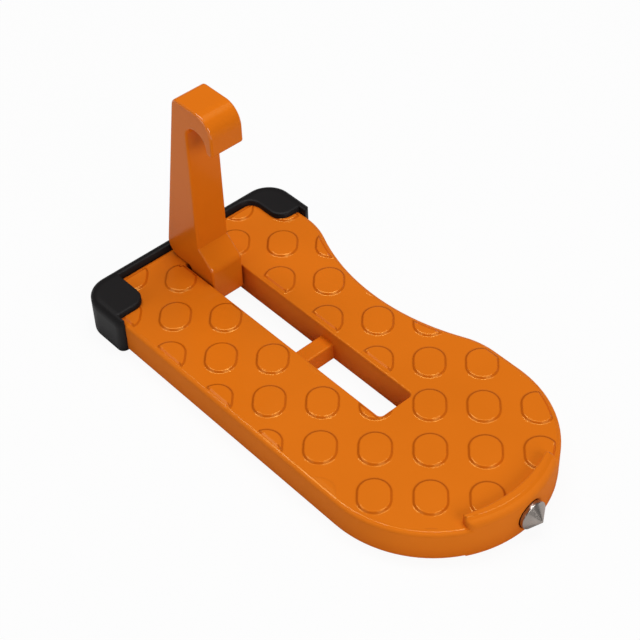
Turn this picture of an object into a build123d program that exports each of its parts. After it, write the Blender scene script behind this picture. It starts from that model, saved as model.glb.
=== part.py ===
"""Folding step that hangs on the striker of a car door latch, with a hammer tip at the front.

The plate lies flat, its deck facing up. +X points to the front, away from the car, +Y to the side
with the waist, +Z up. The origin is at the bottom centre of the whole step. Millimetres.
"""

import os
from math import acos, cos, radians, sin

from build123d import *

# plate
plate_length = 154.3
plate_width = 76.1
plate_thickness = 10.9
rear_corner_radius = 6.6
deck_edge_radius = 1.3
base_edge_radius = 0.6

# waist in the right side
waist_from_rear = 62.7
waist_depth = 9.4
waist_radius = 78.0
shoulder_radius = 26.0

# slot and its crossbar
slot_from_rear = 9.1
slot_length = 92.8
slot_width = 13.4
slot_corner_radius = 1.5
slot_edge_radius = 0.5
crossbar_from_rear = 63.5
crossbar_width = 5.8
crossbar_edge_radius = 0.6

# hook, its profile measured from the pivot
pivot_from_rear = 17.0
pivot_below_deck = 4.4
hook_thickness = 12.2
hook_height = 72.5
hook_back_at_heel = 17.6
hook_back_at_top = 5.6
hook_edge_radius = 0.7
mouth_width = 9.4
mouth_top_wall = 7.0
nose_length = 13.0
nose_wall = 2.9
nose_top_radius = 6.8
nose_tip_radius = 1.0
back_corner_radius = 2.4
foot_reach = 6.4
foot_top = 9.7
foot_slope_top = 15.5
foot_drop = 4.3
foot_corner_radius = 1.6
foot_brow_radius = 3.0
heel_radius = 5.0
lug_reach = 5.4
lug_corner_radius = 1.0

# pivot pin and the bosses that hold it
pin_radius = 2.5
pin_press_clearance = 0.02
pin_running_clearance = 0.08
pin_chamfer = 0.4
pin_path_clearance = 0.4
pivot_boss_wall = 4.0
pivot_boss_length = 11.0

# gap left where the hook rests on the deck or on the crossbar
stop_gap = 0.3

# hammer tip
tip_offset = 2.4
tip_below_deck = 5.45
tip_radius = 4.7
tip_collar_length = 1.2
tip_cone_length = 3.4
tip_collar_edge_radius = 0.25
tip_shank_edge_radius = 0.5
tip_seat_depth = 0.75
tip_seat_clearance = 0.35
tip_shank_radius = 3.0
tip_shank_length = 9.0
tip_shank_clearance = 0.02
tip_boss_wall = 2.0

# raised lip along the front edge
lip_height = 3.2
lip_width = 5.0
lip_inner_radius = 43.3
lip_half_angle = 29.5
lip_outer_radius = 2.7
lip_edge_radius = 0.6

# raised oval treads
tread_length = 13.2
tread_width = 10.4
tread_height = 0.4
tread_taper = 65.0
tread_turn = -44.3
tread_first_from_rear = 121.2
tread_first_side = -4.98
row_step_forward = 11.39
row_step_sideways = 11.24
column_step_forward = 12.66
column_step_sideways = -12.36
tread_steps = 10
tread_edge_margin = 1.5
tread_slot_margin = 1.7
tread_rubber_margin = 0.3
heel_strip_margin = 2.0
tread_smallest_volume = 1.4

# distance below which an edge counts as lying on an outline
touching = 0.01

# hollow underside
deck_wall = 3.0
skirt_wall = 3.4
slot_wall = 2.8
rib_width = 2.0
rib_pitch = 14.0
ribs_behind_crossbar = 4
ribs_before_crossbar = 5
lobe_rib_side = 18.0
pocket_corner_radius = 1.5

# rubber bumper
rubber_wall = 2.4
rubber_above_deck = 2.4
rubber_jaw_height = 1.6
rubber_jaw_width = 2.2
rubber_wing_length = 18.3
rubber_wing_radius = 2.2
rubber_claw_length = 15.2
rubber_left_claw = 11.5
rubber_right_claw = 8.7
rubber_claw_radius = 4.8
rubber_root_radius = 4.8
rubber_rim_radius = 1.4
rubber_edge_radius = 0.7

# places that follow from the sizes above
half_width = plate_width / 2
half_slot = slot_width / 2
overall_length = rubber_wall + plate_length + tip_collar_length + tip_cone_length
rear_x = rubber_wall - overall_length / 2
front_x = rear_x + plate_length
lobe_x = front_x - half_width
slot_rear_x = rear_x + slot_from_rear
slot_front_x = slot_rear_x + slot_length
slot_x = slot_rear_x + slot_length / 2
crossbar_x = rear_x + crossbar_from_rear
pivot_x = rear_x + pivot_from_rear
pivot_z = plate_thickness - pivot_below_deck
tip_z = plate_thickness - tip_below_deck
wing_x = rear_x + rubber_wing_length
claw_x = rear_x + rubber_claw_length
rubber_top_z = plate_thickness + rubber_above_deck


def draw_plate_outline():
    """Plate seen from above: straight left side, round front and a waist in the right side."""
    waist_x = rear_x + waist_from_rear
    turn = acos(1 - waist_depth / (waist_radius + shoulder_radius))
    shoulder_run = (waist_radius + shoulder_radius) * sin(turn)
    waist_run = waist_radius * sin(turn)
    waist_end = half_width - shoulder_radius * (1 - cos(turn))
    middle_run = shoulder_run - shoulder_radius * sin(turn / 2)
    middle_side = half_width - shoulder_radius * (1 - cos(turn / 2))
    rear_shoulder = (waist_x - shoulder_run, half_width)
    front_shoulder = (waist_x + shoulder_run, half_width)
    rear_waist = (waist_x - waist_run, waist_end)
    front_waist = (waist_x + waist_run, waist_end)
    left_end = (lobe_x, -half_width)
    right_end = (lobe_x, half_width)
    Polyline(rear_shoulder, (rear_x, half_width), (rear_x, -half_width), left_end)
    ThreePointArc(left_end, (front_x, 0), right_end)
    Line(right_end, front_shoulder)
    ThreePointArc(front_shoulder, (waist_x + middle_run, middle_side), front_waist)
    ThreePointArc(front_waist, (waist_x, half_width - waist_depth), rear_waist)
    ThreePointArc(rear_waist, (waist_x - middle_run, middle_side), rear_shoulder)


def round_corner(sketch, place, radius):
    """Round the corner of a sketch that lies nearest to a place."""
    fillet(sketch.vertices().sort_by_distance(Vector(*place))[0], radius)


# plate seen from above
with BuildSketch() as plate_plan:
    with BuildLine():
        draw_plate_outline()
    make_face()
    rear_corners = plate_plan.vertices().group_by(Axis.X)[0]
    fillet(rear_corners, rear_corner_radius)

with BuildSketch() as bumper_plan:
    add(plate_plan.sketch)
    offset(amount=rubber_wall, kind=Kind.ARC, mode=Mode.REPLACE)

# the two claws of the bumper that lie on the deck
with BuildSketch() as claw_plan:
    with Locations((rear_x - rubber_wall, 0)):
        Rectangle(rubber_claw_length + rubber_wall, 2 * bumper_plan.sketch.bounding_box().max.Y,
                  align=(Align.MIN, Align.CENTER))
    with Locations((rear_x, (rubber_left_claw - rubber_right_claw) / 2)):
        Rectangle(plate_length, plate_width - rubber_left_claw - rubber_right_claw,
                  align=(Align.MIN, Align.CENTER), mode=Mode.SUBTRACT)
    round_corner(claw_plan, (claw_x, rubber_left_claw - half_width, 0), rubber_claw_radius)
    round_corner(claw_plan, (claw_x, half_width - rubber_right_claw, 0), rubber_claw_radius)
    round_corner(claw_plan, (rear_x, half_width - rubber_right_claw, 0), rubber_root_radius)
    add(bumper_plan.sketch, mode=Mode.INTERSECT)

# raised lip seen from above
with BuildSketch() as lip_plan:
    reach = 2 * half_width
    fan_side = reach * sin(radians(lip_half_angle))
    fan_front = lobe_x + reach * cos(radians(lip_half_angle))
    with BuildLine():
        Polyline((lobe_x, 0), (fan_front, -fan_side), (fan_front, fan_side), close=True)
    make_face()
    add(plate_plan.sketch, mode=Mode.INTERSECT)
    with Locations((front_x - lip_width - lip_inner_radius, 0)):
        Circle(lip_inner_radius, mode=Mode.SUBTRACT)

# area of the deck that carries treads
with BuildSketch() as tread_area:
    add(plate_plan.sketch)
    offset(amount=-tread_edge_margin, kind=Kind.ARC, mode=Mode.REPLACE)
    with Locations((slot_x, (tread_slot_margin - slot_edge_radius) / 2)):
        Rectangle(slot_length + 2 * slot_edge_radius, slot_width + tread_slot_margin + slot_edge_radius,
                  mode=Mode.SUBTRACT)
    heel_strip = hook_thickness + 2 * heel_strip_margin
    with Locations((rear_x, 0)):
        Rectangle(slot_from_rear, heel_strip, align=(Align.MIN, Align.CENTER), mode=Mode.SUBTRACT)

tread_centres = []
for row in range(-tread_steps, tread_steps + 1):
    for column in range(-tread_steps, tread_steps + 1):
        forward = tread_first_from_rear + row * row_step_forward + column * column_step_forward
        sideways = tread_first_side + row * row_step_sideways + column * column_step_sideways
        inside = abs(sideways) < half_width + tread_width / 2
        if inside and -tread_length < forward < plate_length + tread_length:
            tread_centres.append((rear_x + forward, sideways))

with BuildPart() as oval:
    with BuildSketch():
        SlotOverall(tread_length, tread_width, rotation=tread_turn)
    extrude(amount=tread_height, taper=tread_taper)

with BuildPart() as treads:
    with Locations(*tread_centres):
        add(oval.part)
    with BuildSketch():
        add(tread_area.sketch)
    extrude(amount=tread_height, taper=tread_taper, mode=Mode.INTERSECT)
    with BuildSketch():
        add(claw_plan.sketch)
        offset(amount=tread_rubber_margin, kind=Kind.ARC, mode=Mode.REPLACE)
    extrude(amount=tread_height, mode=Mode.SUBTRACT)

# cells of the underside: everything inside the skirt that is not a wall, a rib or a boss
with BuildSketch() as pocket_plan:
    add(plate_plan.sketch)
    offset(amount=-skirt_wall, kind=Kind.ARC, mode=Mode.REPLACE)
    with Locations((slot_x, 0)):
        Rectangle(slot_length + 2 * slot_wall, slot_width + 2 * slot_wall, mode=Mode.SUBTRACT)
    for step in range(-ribs_behind_crossbar, ribs_before_crossbar + 1):
        with Locations((crossbar_x + step * rib_pitch, 0)):
            Rectangle(rib_width, plate_width, mode=Mode.SUBTRACT)
    for side in (-lobe_rib_side, lobe_rib_side):
        with Locations((slot_front_x, side)):
            Rectangle(plate_length, rib_width, align=(Align.MIN, Align.CENTER), mode=Mode.SUBTRACT)
    with Locations((slot_front_x, 0)):
        Rectangle(plate_length, rib_width, align=(Align.MIN, Align.CENTER), mode=Mode.SUBTRACT)
    tip_boss_width = 2 * (tip_shank_radius + tip_boss_wall)
    tip_boss_length = tip_seat_depth + tip_shank_length + tip_boss_wall
    with Locations((front_x, tip_offset)):
        Rectangle(tip_boss_length, tip_boss_width, align=(Align.MAX, Align.CENTER), mode=Mode.SUBTRACT)
    with Locations((pivot_x, 0)):
        Rectangle(pivot_boss_length, slot_width + 2 * pivot_boss_wall, mode=Mode.SUBTRACT)

# cast plate
with BuildPart() as step_plate:
    add(plate_plan.sketch)
    extrude(amount=plate_thickness)
    fillet(step_plate.faces().sort_by(Axis.Z)[-1].edges(), deck_edge_radius)
    fillet(step_plate.faces().sort_by(Axis.Z)[0].edges(), base_edge_radius)

    # lip along the front edge
    with BuildSketch():
        add(lip_plan.sketch)
    extrude(amount=plate_thickness + lip_height)
    lip_top = step_plate.faces().filter_by(Axis.Z).sort_by(Axis.Z)[-1]
    fillet(lip_top.edges().sort_by(Axis.X)[:-1], lip_edge_radius)
    lip_top = step_plate.faces().filter_by(Axis.Z).sort_by(Axis.Z)[-1]
    fillet(lip_top.edges().sort_by(Axis.X)[-1], lip_outer_radius)

    # slot with a soft rim and a low crossbar
    with BuildSketch():
        with Locations((slot_x, 0)):
            RectangleRounded(slot_length, slot_width, slot_corner_radius)
    extrude(amount=plate_thickness, mode=Mode.SUBTRACT)
    beside_slot = Vector(crossbar_x, half_slot + slot_wall, plate_thickness)
    deck = step_plate.faces().sort_by_distance(beside_slot)[0]
    fillet(deck.inner_wires().edges(), slot_edge_radius)
    with BuildSketch(Plane.XZ.offset(-half_slot)):
        with Locations((crossbar_x, 0)):
            Rectangle(crossbar_width, pivot_z - stop_gap, align=(Align.CENTER, Align.MIN))
    extrude(amount=slot_width)
    crossbar_top = Vector(crossbar_x, 0, pivot_z)
    crossbar_edges = step_plate.edges().filter_by(Axis.Y).sort_by_distance(crossbar_top)[:2]
    fillet(crossbar_edges, crossbar_edge_radius)

    # treads, without the slivers that the edges of the tread area leave
    for tread in treads.solids():
        if tread.volume > tread_smallest_volume:
            with Locations((0, 0, plate_thickness)):
                add(tread)

    # cells of the underside
    with BuildSketch():
        add(pocket_plan.sketch)
        fillet(pocket_plan.vertices(), pocket_corner_radius)
    extrude(amount=plate_thickness - deck_wall, mode=Mode.SUBTRACT)

    # bore for the pivot pin and the groove by which the pin is slid in
    with BuildSketch(Plane.XZ.offset(-half_slot - pivot_boss_wall)):
        with Locations((pivot_x, pivot_z)):
            Circle(pin_radius + pin_press_clearance)
    extrude(amount=slot_width + 2 * pivot_boss_wall, mode=Mode.SUBTRACT)
    with BuildSketch(Plane.XZ.offset(half_slot + pivot_boss_wall)):
        with Locations((pivot_x, pivot_z)):
            Circle(pin_radius + pin_path_clearance)
    extrude(amount=half_width - skirt_wall - half_slot - pivot_boss_wall, mode=Mode.SUBTRACT)

    # seat and bore of the hammer tip
    with BuildSketch(Plane.YZ.offset(front_x - tip_seat_depth)):
        with Locations((tip_offset, tip_z)):
            Circle(tip_radius + tip_seat_clearance)
    extrude(amount=tip_collar_length, mode=Mode.SUBTRACT)
    with BuildSketch(Plane.YZ.offset(front_x - tip_seat_depth)):
        with Locations((tip_offset, tip_z)):
            Circle(tip_shank_radius + tip_shank_clearance)
    extrude(amount=-tip_shank_length, mode=Mode.SUBTRACT)

    # rebate for the jaw of the rubber bumper
    with BuildSketch() as jaw_plan:
        add(plate_plan.sketch)
        with BuildSketch(mode=Mode.PRIVATE) as inner_plan:
            add(plate_plan.sketch)
            offset(amount=-rubber_jaw_width, kind=Kind.ARC, mode=Mode.REPLACE)
        add(inner_plan.sketch, mode=Mode.SUBTRACT)
        with Locations((wing_x, 0)):
            Rectangle(plate_length, plate_width, align=(Align.MIN, Align.CENTER), mode=Mode.SUBTRACT)
    extrude(amount=rubber_jaw_height, mode=Mode.SUBTRACT)
step_plate.part.label = "step_plate"
print("step plate")

# hook, seen from the side; the pivot is at the origin of the sketch
heel_bottom = pivot_below_deck + stop_gap
nose_bottom = hook_height - nose_length
nose_front = mouth_width + nose_wall
arch_z = hook_height - mouth_top_wall - mouth_width / 2
with BuildSketch() as hook_side:
    with BuildLine():
        Polyline(
            (-lug_reach, -foot_drop),
            (foot_reach, -foot_drop),
            (foot_reach, foot_top),
            (0, foot_slope_top),
            (0, nose_bottom),
            (nose_front, nose_bottom),
            (nose_front, hook_height),
            (-hook_back_at_top, hook_height),
            (-hook_back_at_heel, heel_bottom),
            (-lug_reach, heel_bottom),
            close=True,
        )
    make_face()
    round_corner(hook_side, (nose_front, hook_height, 0), nose_top_radius)
    round_corner(hook_side, (-hook_back_at_top, hook_height, 0), back_corner_radius)
    round_corner(hook_side, (-hook_back_at_heel, heel_bottom, 0), heel_radius)
    round_corner(hook_side, (-lug_reach, heel_bottom, 0), lug_corner_radius)
    round_corner(hook_side, (-lug_reach, -foot_drop, 0), foot_corner_radius)
    round_corner(hook_side, (foot_reach, -foot_drop, 0), foot_corner_radius)
    round_corner(hook_side, (foot_reach, foot_top, 0), foot_brow_radius)
    with Locations((mouth_width / 2, arch_z)):
        Circle(mouth_width / 2, mode=Mode.SUBTRACT)
        Rectangle(mouth_width, arch_z - nose_bottom, align=(Align.CENTER, Align.MAX), mode=Mode.SUBTRACT)
    round_corner(hook_side, (nose_front, nose_bottom, 0), nose_tip_radius)
    round_corner(hook_side, (mouth_width, nose_bottom, 0), nose_tip_radius)

with BuildPart() as hook:
    with BuildSketch(Plane((pivot_x, 0, pivot_z), x_dir=(1, 0, 0), z_dir=(0, -1, 0))):
        add(hook_side.sketch)
    extrude(amount=hook_thickness / 2, both=True)
    side_faces = hook.faces().filter_by(Axis.Y)
    fillet(side_faces.edges(), hook_edge_radius)
    with BuildSketch(Plane.XZ.offset(-half_slot)):
        with Locations((pivot_x, pivot_z)):
            Circle(pin_radius + pin_running_clearance)
    extrude(amount=slot_width, mode=Mode.SUBTRACT)
hook.part.label = "hook"
print("hook")

with BuildPart() as pivot_pin:
    with BuildSketch(Plane.XZ.offset(-half_slot - pivot_boss_wall)):
        with Locations((pivot_x, pivot_z)):
            Circle(pin_radius)
    extrude(amount=slot_width + 2 * pivot_boss_wall)
    chamfer(pivot_pin.edges(), pin_chamfer)
pivot_pin.part.label = "pivot_pin"

# rubber bumper: wall round the rear, two claws on the deck and a jaw under the skirt
with BuildPart() as rubber_bumper:
    with BuildSketch():
        add(bumper_plan.sketch)
        add(plate_plan.sketch, mode=Mode.SUBTRACT)
        with Locations((wing_x, 0)):
            Rectangle(plate_length, 2 * plate_width, align=(Align.MIN, Align.CENTER), mode=Mode.SUBTRACT)
    extrude(amount=rubber_top_z)
    with BuildSketch(Plane.XY.offset(plate_thickness - deck_edge_radius)):
        add(claw_plan.sketch)
    extrude(amount=deck_edge_radius + rubber_above_deck)
    rim = bumper_plan.sketch.face().outer_wire().moved(Location((0, 0, rubber_top_z)))
    top_edges = rubber_bumper.faces().sort_by(Axis.Z)[-1].edges()
    fillet([edge for edge in top_edges if rim.distance_to(edge @ 0.5) > touching], rubber_edge_radius)
    top_edges = rubber_bumper.faces().sort_by(Axis.Z)[-1].edges()
    fillet([edge for edge in top_edges if rim.distance_to(edge @ 0.5) < touching], rubber_rim_radius)
    with BuildSketch():
        add(jaw_plan.sketch)
    extrude(amount=rubber_jaw_height)
    add(step_plate.part, mode=Mode.SUBTRACT)
    with BuildSketch() as rounded_wings:
        with Locations((wing_x, 0)):
            Rectangle(plate_length, plate_width + 2 * rubber_wall, align=(Align.MAX, Align.CENTER))
        fillet(rounded_wings.vertices().group_by(Axis.X)[-1], rubber_wing_radius)
    extrude(amount=rubber_top_z, mode=Mode.INTERSECT)
rubber_bumper.part.label = "rubber_bumper"
print("rubber bumper")

# hammer tip, turned about its own axis
with BuildPart() as hammer_tip:
    seat = (front_x - tip_seat_depth, tip_offset, tip_z)
    with BuildSketch(Plane(seat, x_dir=(1, 0, 0), z_dir=(0, -1, 0))) as half_profile:
        collar_end = tip_seat_depth + tip_collar_length
        with BuildLine():
            Polyline(
                (-tip_shank_length, 0),
                (-tip_shank_length, tip_shank_radius),
                (0, tip_shank_radius),
                (0, tip_radius),
                (collar_end, tip_radius),
                (collar_end + tip_cone_length, 0),
                close=True,
            )
        make_face()
        round_corner(half_profile, (collar_end, tip_radius, 0), tip_collar_edge_radius)
        round_corner(half_profile, (-tip_shank_length, tip_shank_radius, 0), tip_shank_edge_radius)
    revolve(axis=Axis(seat, (1, 0, 0)))
hammer_tip.part.label = "hammer_tip"
print("hammer tip")

os.makedirs("parts", exist_ok=True)
for piece in (step_plate, hook, pivot_pin, rubber_bumper, hammer_tip):
    solids = piece.part.solids()
    box = piece.part.bounding_box()
    print(piece.part.label, len(solids), "solid,", round(piece.part.volume / 1000, 1), "cm3", box.min, box.max)
    export_step(piece.part, "parts/" + piece.part.label + ".step")
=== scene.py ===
import math

import bpy
from mathutils import Matrix, Vector

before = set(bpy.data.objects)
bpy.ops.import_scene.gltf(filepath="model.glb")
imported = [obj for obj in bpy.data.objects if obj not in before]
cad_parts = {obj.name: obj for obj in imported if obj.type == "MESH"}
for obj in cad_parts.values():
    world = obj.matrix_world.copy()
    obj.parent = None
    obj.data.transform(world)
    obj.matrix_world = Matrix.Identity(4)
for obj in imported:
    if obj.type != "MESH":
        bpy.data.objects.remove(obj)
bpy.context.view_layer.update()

mm = 0.001


def feed(tree, socket, value):
    if isinstance(value, Socket):
        tree.links.new(value.output, socket)
    else:
        socket.default_value = value


def makeNode(tree, kind, settings, sockets, out=0):
    # settings come first, because they decide which sockets there are
    made = tree.nodes.new(kind)
    for key, value in settings.items():
        setattr(made, key, value)
    for key, value in sockets.items():
        feed(tree, made.inputs[key], value)
    return Socket(tree, made.outputs[out])


class Socket:
    # one output of a node tree; arithmetic on it adds Math nodes
    def __init__(self, tree, output):
        self.tree = tree
        self.output = output

    def math(self, operation, *values):
        sockets = dict(enumerate(values))
        return makeNode(self.tree, "ShaderNodeMath", {"operation": operation}, sockets)

    def __add__(self, other):
        return self.math("ADD", self, other)

    def __radd__(self, other):
        return self.math("ADD", other, self)

    def __sub__(self, other):
        return self.math("SUBTRACT", self, other)

    def __rsub__(self, other):
        return self.math("SUBTRACT", other, self)

    def __mul__(self, other):
        return self.math("MULTIPLY", self, other)

    def __rmul__(self, other):
        return self.math("MULTIPLY", other, self)

    def __truediv__(self, other):
        return self.math("DIVIDE", self, other)

    def __rtruediv__(self, other):
        return self.math("DIVIDE", other, self)

    def above(self, limit):
        return self.math("GREATER_THAN", self, limit)

    def below(self, limit):
        return self.math("LESS_THAN", self, limit)

    def larger(self, other):
        return self.math("MAXIMUM", self, other)

    def smaller(self, other):
        return self.math("MINIMUM", self, other)

    def size(self):
        return self.math("ABSOLUTE", self)

    def root(self):
        return self.math("SQRT", self)

    def rounded(self):
        return self.math("ROUND", self)

    def arcCosine(self):
        return self.math("ARCCOSINE", self)

    def clamped(self):
        return self.larger(0.0).smaller(1.0)

    def smooth(self):
        # soft step of a value that runs from 0 to 1
        part = self.clamped()
        return part * part * (3.0 - 2.0 * part)


class Look:
    # a material round one Principled shader
    def __init__(self, name, **values):
        self.material = bpy.data.materials.new(name)
        self.material.use_nodes = True
        self.tree = self.material.node_tree
        self.shader = next(node for node in self.tree.nodes if node.type == "BSDF_PRINCIPLED")
        self.drive(**values)

    def node(self, kind, settings=None, out=0, **sockets):
        return makeNode(self.tree, kind, settings or {}, sockets, out)

    def place(self):
        return self.node("ShaderNodeTexCoord", out="Object")

    def facing(self, kind):
        return self.node("ShaderNodeNewGeometry", out=kind)

    def axis(self, name, vector):
        return self.node("ShaderNodeSeparateXYZ", out=name, Vector=vector)

    def noise(self, coords, scale, detail=2.0, roughness=0.5):
        return self.node("ShaderNodeTexNoise", Vector=coords, Scale=scale,
                         Detail=detail, Roughness=roughness)

    def mixColour(self, factor, first, second):
        # sockets 6 and 7 and output 2 are the colour ones
        colours = {0: factor, 6: first, 7: second}
        return makeNode(self.tree, "ShaderNodeMix", {"data_type": "RGBA"}, colours, 2)

    def bump(self, height):
        # height in metres
        return self.node("ShaderNodeBump", Height=height, Strength=1.0, Distance=1.0)

    def drive(self, **sockets):
        for key, value in sockets.items():
            feed(self.tree, self.shader.inputs[key], value)


def put(look, *nodeNames):
    for nodeName in nodeNames:
        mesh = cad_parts[nodeName].data
        mesh.materials.clear()
        mesh.materials.append(look.material)


plate = {
    "deck": 10.9 * mm,
    "lobe": 38.0 * mm,  # middle of the round front
    "onDeck": (-0.2 * mm, 0.6 * mm),  # from the deck: heights at which a level face carries treads
}

paint = {
    "light": (0.735, 0.172, 0.0075, 1.0),
    "deep": (0.655, 0.150, 0.0055, 1.0),
    "cloudScale": 22.0,
    "speck": (0.20, 0.035, 0.004, 1.0),
    "speckCell": 55.0,  # cells a metre
    "speckSize": 0.022,  # share of a cell
    "speckShare": 0.22,
    "peelScale": 520.0,
    "peelHeight": 0.012 * mm,
    "hollow": (0.550, 0.082, 0.0028, 1.0),  # painted shade: a deeper, redder tint where paint faces paint, standing in for shade and orange light bounced between faces
    "hollowReach": 14.0 * mm,
    "hollowOpen": 1.4,  # more of this leaves less of the painted shade
    "roughness": 0.20,
    "wallRoughness": 0.85,  # the sides are left as cast under the paint
    "wallStart": 0.93,  # upward share of the normal under which a face counts as a side
    "wallBlend": 4.0,
    "edgeRoughness": 0.12,
    "edgeCoat": 1.0,
    "edgeSideways": (0.10, 0.97),  # sideways share of the normal on the hook's round edges
    "edgeUpward": 0.12,
    "rimCoat": 0.15,
    "dashScale": 240.0,  # the bright line along the rim is broken into dashes
    "dashLimit": 0.46,
    "specular": 0.42,
    "hookSpecular": 0.13,
    "specularTint": (1.0, 0.66, 0.16, 1.0),
    "steepShade": 0.38,  # share of the painted shade on the steep slopes of the treads
}

tread = {
    "height": 0.4 * mm,
    "slope": math.radians(25.0),
    "slopeSpread": 0.02,
    "start": (42.95 * mm, -4.98 * mm),  # middle of one tread, the others follow in rows and columns
    "row": (11.39 * mm, 11.24 * mm),
    "column": (12.66 * mm, -12.36 * mm),
    "turn": math.radians(-44.3),
    "length": 13.2 * mm,
    "width": 10.4 * mm,
    "gentle": (-0.30 * mm, 0.92 * mm),  # inward from the foot: from the soft foot to the round brow
    "steep": (0.0 * mm, 0.64 * mm),
    "gentleSlope": 0.354,
    "steepSlope": 1.15,
    "fieldRadius": 36.0 * mm,  # treads lie inside this, and apart from the slot
    "fieldSlotSide": 7.6 * mm,
    "slotFront": 23.6 * mm,
    "cutFade": 0.80,  # share of the slope that is smoothed away where a tread is cut straight
    "cutBlend": 1.0 * mm,
    "cutLevel": 0.5 * mm,
    "levelled": ((32.8 * mm, -39.8 * mm), (-5.1 * mm, -2.7 * mm), (-29.2 * mm, -1.6 * mm)),
    "levelledReach": 8.0 * mm,
}


def insideTread(look, coords):
    # how far a point of the deck lies inside the nearest oval of the tread pattern
    x = look.axis("X", coords) - tread["start"][0]
    y = look.axis("Y", coords) - tread["start"][1]
    rowX, rowY = tread["row"]
    columnX, columnY = tread["column"]
    area = rowX * columnY - columnX * rowY
    row = (x * (columnY / area) - y * (columnX / area)).rounded()
    column = (y * (rowX / area) - x * (rowY / area)).rounded()
    x = x - row * rowX - column * columnX
    y = y - row * rowY - column * columnY
    along = x * math.cos(tread["turn"]) + y * math.sin(tread["turn"])
    across = y * math.cos(tread["turn"]) - x * math.sin(tread["turn"])
    past = (along.size() - (tread["length"] - tread["width"]) / 2.0).larger(0.0)
    return tread["width"] / 2.0 - (past * past + across * across).root()


def between(value, limits):
    return value.above(limits[0]) * value.below(limits[1])


def kept(value, limits):
    return value.larger(limits[0]).smaller(limits[1])


def farFrom(x, y, spots, reach):
    # 1 outside the round spots and 0 inside them
    far = 1.0
    for middleX, middleY in spots:
        besideX, besideY = x - middleX, y - middleY
        far = (besideX * besideX + besideY * besideY).root().above(reach) * far
    return far


def treadRelief(look, coords):
    # the straight slope of each tread gets a hollow foot and a round brow
    slopeWidth = tread["height"] / math.tan(tread["slope"])
    x, y = look.axis("X", coords), look.axis("Y", coords)
    z = look.axis("Z", coords) - plate["deck"]
    upward = look.axis("Z", look.facing("True Normal"))
    onSlope = (upward - math.cos(tread["slope"])).size().below(tread["slopeSpread"])
    onLevel = upward.above(1.0 - 0.5 * tread["slopeSpread"]) * between(z, plate["onDeck"])
    onTop = z.above(tread["height"] / 2.0)
    # the bare strips along the rim and the slot have no treads
    ahead = (x - plate["lobe"]).larger(0.0)
    inField = (ahead * ahead + y * y).root().below(tread["fieldRadius"])
    inField = inField * y.size().above(tread["fieldSlotSide"]).larger(x.above(tread["slotFront"]))
    onLevel = onLevel * inField.larger(onTop)
    # how far inward from the foot, on the slope from its height and beside it from the oval
    risen = (z / tread["height"]).clamped()
    inside = insideTread(look, coords)
    level = onTop * inside.larger(slopeWidth) + (1.0 - onTop) * inside.smaller(0.0)
    inward = onSlope * risen * slopeWidth + (1.0 - onSlope) * level
    rise = (kept(inward, tread["gentle"]) - tread["gentle"][0]) * tread["gentleSlope"]
    extraSlope = tread["steepSlope"] - tread["gentleSlope"]
    rise = rise + (kept(inward, tread["steep"]) - tread["steep"][0]) * extraSlope
    # the cut sides of treads are soft, and three small remains are shaded level with the deck
    cut = onSlope * ((inside - slopeWidth) / tread["cutBlend"]).smooth() * tread["cutFade"]
    shown = farFrom(x, y, tread["levelled"], tread["levelledReach"])
    rise = (rise * (1.0 - cut) + cut * tread["cutLevel"]) * shown
    flattened = rise - onSlope * risen * tread["height"]
    relief = flattened * math.cos(tread["slope"]) * (onSlope + onLevel)
    where = (onSlope + onLevel * onTop.larger(inside.below(0.0))) * shown
    onGentle = between(inward, tread["gentle"]) * where * (1.0 - cut)
    onSteep = between(inward, tread["steep"]) * where
    # the second mask carries the painted shade on the steep walls and on the cut sides
    return relief, onSteep * (1.0 + cut), (onGentle - onSteep).larger(0.0)


crisp = {
    # turn: how far round the narrow bright face goes; lean: slope of what follows it
    "lip": {"top": 14.1 * mm, "radius": 2.7 * mm, "turn": 0.11, "lean": 0.62},
    "rim": {"top": plate["deck"], "radius": 1.3 * mm, "turn": 0.38, "lean": 0.38},
    "brightSlope": 0.34,
    "lipInside": 35.2 * mm,
    "slotSide": 8.0 * mm,
    "leastLean": 0.03,  # upright walls are left out
    "topMargin": 0.002 * mm,
}


def crispEdges(look, coords):
    # a round outer edge breaks at its top as a cast and painted edge does
    x = look.axis("X", coords) - plate["lobe"]
    y, z = look.axis("Y", coords), look.axis("Z", coords)
    leaning = look.axis("Z", look.facing("True Normal")).above(crisp["leastLean"])
    onLip = (x * x + y * y).root().above(crisp["lipInside"])
    besideSlot = y.size().above(crisp["slotSide"]).larger(x.above(0.0))
    total = edge = 0.0
    for sizes, where in ((crisp["lip"], onLip), (crisp["rim"], besideSlot)):
        top, radius, lean = sizes["top"], sizes["radius"], sizes["lean"]
        turned = ((z - (top - radius)) / radius).clamped().arcCosine()
        leant = turned.smaller(lean)
        brightPart = turned.smaller(sizes["turn"]) * (lean - crisp["brightSlope"])
        bend = (leant * lean - leant * leant * 0.5 - brightPart) * radius
        where = where * leaning * between(z, (top - radius, top - crisp["topMargin"]))
        total = total - bend * where
        edge = turned.below(sizes["turn"]) * where + edge
    return total, edge


def paintColour(look, coords):
    cloud = look.noise(coords, paint["cloudScale"], detail=3.0, roughness=0.6)
    colour = look.mixColour(cloud.smooth(), paint["deep"], paint["light"])
    # painted shade: ambient occlusion darkens and deepens the colour in recesses and between parts
    openness = look.node("ShaderNodeAmbientOcclusion", {"samples": 8}, "AO",
                         Distance=paint["hollowReach"])
    colour = look.mixColour((openness * paint["hollowOpen"]).clamped(), paint["hollow"], colour)
    speckPlace = {"Vector": coords, "Scale": paint["speckCell"]}
    speckDistance = look.node("ShaderNodeTexVoronoi", **speckPlace)
    cellTint = look.node("ShaderNodeTexVoronoi", out="Color", **speckPlace)
    cellNumber = look.node("ShaderNodeSeparateColor", Color=cellTint)
    specks = speckDistance.below(paint["speckSize"]) * cellNumber.below(paint["speckShare"])
    return look.mixColour(specks, colour, paint["speck"])


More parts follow.
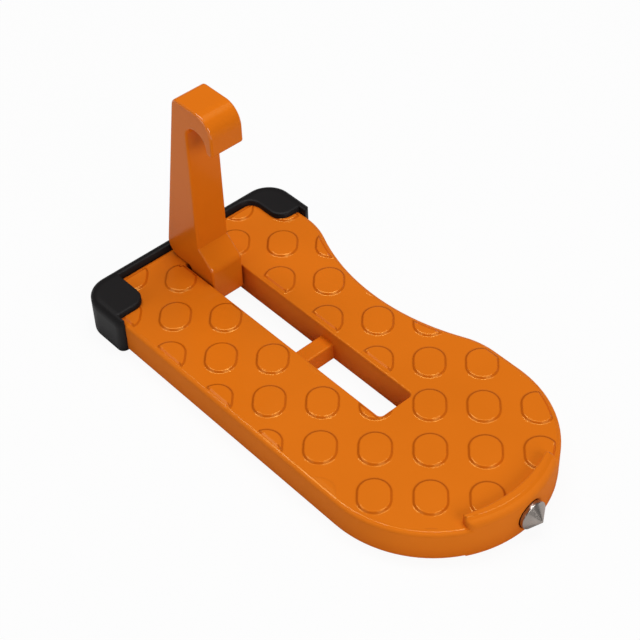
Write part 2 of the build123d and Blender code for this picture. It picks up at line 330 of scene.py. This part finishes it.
def paintLook(name, specular):
    look = Look(name, **{"Specular IOR Level": specular, "Specular Tint": paint["specularTint"],
                         "Coat Roughness": paint["edgeRoughness"]})
    coords = look.place()
    peel = look.noise(coords, paint["peelScale"]) * paint["peelHeight"]
    return look, coords, paintColour(look, coords), peel


def finishPaint(look, colour, height, smoothEdge, coat, wall=0.0):
    coarse = (paint["wallRoughness"] - paint["roughness"]) * wall
    roughness = (coarse + paint["roughness"]) * (1.0 - smoothEdge)
    roughness = roughness + smoothEdge * paint["edgeRoughness"]
    look.drive(**{"Base Color": colour, "Roughness": roughness, "Coat Weight": coat,
                  "Normal": look.bump(height)})
    return look


def platePaint():
    look, coords, colour, peel = paintLook("castPaint", paint["specular"])
    relief, steep, gentle = treadRelief(look, coords)
    bend, edge = crispEdges(look, coords)
    # painted shade on the steep walls of the treads and on their cut sides
    colour = look.mixColour(steep * paint["steepShade"], colour, paint["hollow"])
    dashes = look.noise(coords, paint["dashScale"]).above(paint["dashLimit"])
    upward = look.axis("Z", look.facing("Normal"))
    wall = ((paint["wallStart"] - upward) * paint["wallBlend"]).clamped()
    return finishPaint(look, colour, peel + relief + bend, (gentle + edge).clamped(),
                       edge * dashes * paint["rimCoat"], wall)


def hookPaint():
    look, coords, colour, peel = paintLook("hookPaint", paint["hookSpecular"])
    facing = look.facing("Normal")
    smoothEdge = between(look.axis("Y", facing).size(), paint["edgeSideways"])
    smoothEdge = smoothEdge * look.axis("Z", facing).above(paint["edgeUpward"])
    return finishPaint(look, colour, peel, smoothEdge, smoothEdge * paint["edgeCoat"])


put(platePaint(), "step_plate")
put(hookPaint(), "hook")
print("paint")

rubber = {
    "dark": (0.0068, 0.0062, 0.0064, 1.0),
    "pale": (0.0125, 0.0110, 0.0115, 1.0),
    "cloudScale": 45.0,
    "grainScale": 1500.0,
    "grainHeight": 0.010 * mm,
    "roughness": 0.46,
    "specular": 0.14,
    "crownReach": 3.2 * mm,  # the rim is soft over this much
    "crownTilt": 0.6,  # slope of the surface at the rim
    "middle": (-37.1 * mm, 0.0),
    "half": (43.55 * mm, 40.45 * mm),
    "corner": 9.0 * mm,
    "top": 13.3 * mm,
}

rubberLook = Look("blackRubber", **{"Roughness": rubber["roughness"],
                                    "Specular IOR Level": rubber["specular"]})
rubberCoords = rubberLook.place()
rubberCloud = rubberLook.noise(rubberCoords, rubber["cloudScale"], detail=3.0, roughness=0.6)
rubberGrain = rubberLook.noise(rubberCoords, rubber["grainScale"], roughness=0.6)


def rimDistance(look, coords):
    # how far a point lies inside the rubber's rounded outline seen from above
    parts = []
    for axis, middle, half in zip(("X", "Y"), rubber["middle"], rubber["half"]):
        parts.append((look.axis(axis, coords) - middle).size() - (half - rubber["corner"]))
    x, y = parts
    outside = (x.larger(0.0) * x.larger(0.0) + y.larger(0.0) * y.larger(0.0)).root()
    return rubber["corner"] - outside - x.larger(y).smaller(0.0)


reach = rubber["crownReach"]
fromRim = (1.0 - rimDistance(rubberLook, rubberCoords) / reach).clamped()
fromTop = (1.0 - (rubber["top"] - rubberLook.axis("Z", rubberCoords)) / reach).clamped()
rubberCrown = (fromRim * fromRim + fromTop * fromTop) * (-0.5 * reach * rubber["crownTilt"])
rubberTint = rubberLook.mixColour(rubberCloud, rubber["dark"], rubber["pale"])
rubberHeight = rubberGrain * rubber["grainHeight"] + rubberCrown
rubberLook.drive(**{"Base Color": rubberTint, "Normal": rubberLook.bump(rubberHeight)})
put(rubberLook, "rubber_bumper")
print("rubber")

steel = {
    "dark": (0.31, 0.272, 0.245, 1.0),
    "pale": (0.46, 0.415, 0.380, 1.0),
    "cloudScale": 260.0,
    "roughness": 0.24,
}

steelLook = Look("turnedSteel", Metallic=1.0, Roughness=steel["roughness"])
steelCloud = steelLook.noise(steelLook.place(), steel["cloudScale"], roughness=0.6)
steelLook.drive(**{"Base Color": steelLook.mixColour(steelCloud, steel["dark"], steel["pale"])})
put(steelLook, "hammer_tip", "pivot_pin")
print("steel")

floorSizes = {
    "half": 3.0,
    "colour": (0.72, 0.72, 0.72, 1.0),
    "whiteShare": 0.93,  # share of plain white that camera and reflections see
    "nearReach": 160.0 * mm,  # reflections closer than this keep more of the object's shadow
}


def buildFloor():
    mesh = bpy.data.meshes.new("floor")
    half = floorSizes["half"]
    corners = [(-half, -half, 0), (half, -half, 0), (half, half, 0), (-half, half, 0)]
    mesh.from_pydata(corners, [], [(0, 1, 2, 3)])
    floor = bpy.data.objects.new("floor", mesh)
    bpy.context.scene.collection.objects.link(floor)
    look = Look("paleFloor", **{"Roughness": 1.0, "Base Color": floorSizes["colour"],
                                "Specular IOR Level": 0.0})
    seen = look.node("ShaderNodeLightPath", out="Is Camera Ray")
    seen = seen.larger(look.node("ShaderNodeLightPath", out="Is Transmission Ray"))
    far = (look.node("ShaderNodeLightPath", out="Ray Length") / floorSizes["nearReach"]).clamped()
    seen = seen.larger(look.node("ShaderNodeLightPath", out="Is Glossy Ray") * far)
    white = look.node("ShaderNodeEmission", Color=(1.0, 1.0, 1.0, 1.0), Strength=1.0)
    lit = Socket(look.tree, look.shader.outputs[0])
    shaders = {0: seen * floorSizes["whiteShare"], 1: lit, 2: white}
    mixed = makeNode(look.tree, "ShaderNodeMixShader", {}, shaders)
    output = next(node for node in look.tree.nodes if node.type == "OUTPUT_MATERIAL")
    feed(look.tree, output.inputs["Surface"], mixed)
    mesh.materials.append(look.material)


buildFloor()
print("floor")

studio = {
    # place, size and direction of the long side in metres, power in watts
    "topBox": {"place": (-0.26, 0.06, 0.9), "size": (0.75, 0.28),
               "along": (-0.865, -0.5, 0.0), "power": 4.6},
    "backBox": {"place": (0.03, 0.34, 0.9), "size": (0.42, 0.3),
                "along": (1.0, 0.0, 0.0), "power": 1.9},
    "frontBox": {"place": (0.85, -0.05, 0.45), "size": (0.6, 0.4),
                 "along": (0.0, 1.0, 0.0), "power": 4.2},
    "leftBox": {"place": (-0.2, -0.9, 0.4), "size": (0.6, 0.4),
                "along": (1.0, 0.0, 0.0), "power": 2.1},
}
lampTarget = (0.0, 0.0, 0.02)
worldStrength = 0.12


def addLamp(name, lampValues):
    data = bpy.data.lights.new(name, "AREA")
    data.shape = "RECTANGLE"
    data.size, data.size_y = lampValues["size"]
    data.energy = lampValues["power"]
    lamp = bpy.data.objects.new(name, data)
    bpy.context.scene.collection.objects.link(lamp)
    back = (Vector(lampValues["place"]) - Vector(lampTarget)).normalized()
    along = Vector(lampValues["along"])
    along = (along - along.dot(back) * back).normalized()
    turn = Matrix((along, back.cross(along), back)).transposed().to_4x4()
    lamp.matrix_world = Matrix.Translation(lampValues["place"]) @ turn


for lampName, lampValues in studio.items():
    addLamp(lampName, lampValues)

world = bpy.data.worlds.new("studioWorld")
world.use_nodes = True
background = next(node for node in world.node_tree.nodes if node.type == "BACKGROUND")
background.inputs["Color"].default_value = (1.0, 1.0, 1.0, 1.0)
background.inputs["Strength"].default_value = worldStrength
bpy.context.scene.world = world

view = {
    "place": (0.259370, -0.228528, 0.368332),
    "right": (0.66875, 0.74289, -0.02974),
    "up": (-0.50575, 0.48387, 0.71422),
    "lens": 91.52,
    "sensor": 36.0,
    "clipStart": 0.01,
}

cameraData = bpy.data.cameras.new("camera")
cameraData.lens = view["lens"]
cameraData.sensor_width = view["sensor"]
cameraData.clip_start = view["clipStart"]
cameraData.dof.use_dof = False
camera = bpy.data.objects.new("camera", cameraData)
bpy.context.scene.collection.objects.link(camera)
right = Vector(view["right"]).normalized()
up = Vector(view["up"])
up = (up - up.dot(right) * right).normalized()
turn = Matrix((right, up, right.cross(up))).transposed().to_4x4()
camera.matrix_world = Matrix.Translation(view["place"]) @ turn
bpy.context.scene.camera = camera
bpy.context.scene.view_settings.view_transform = "Standard"
print("studio")
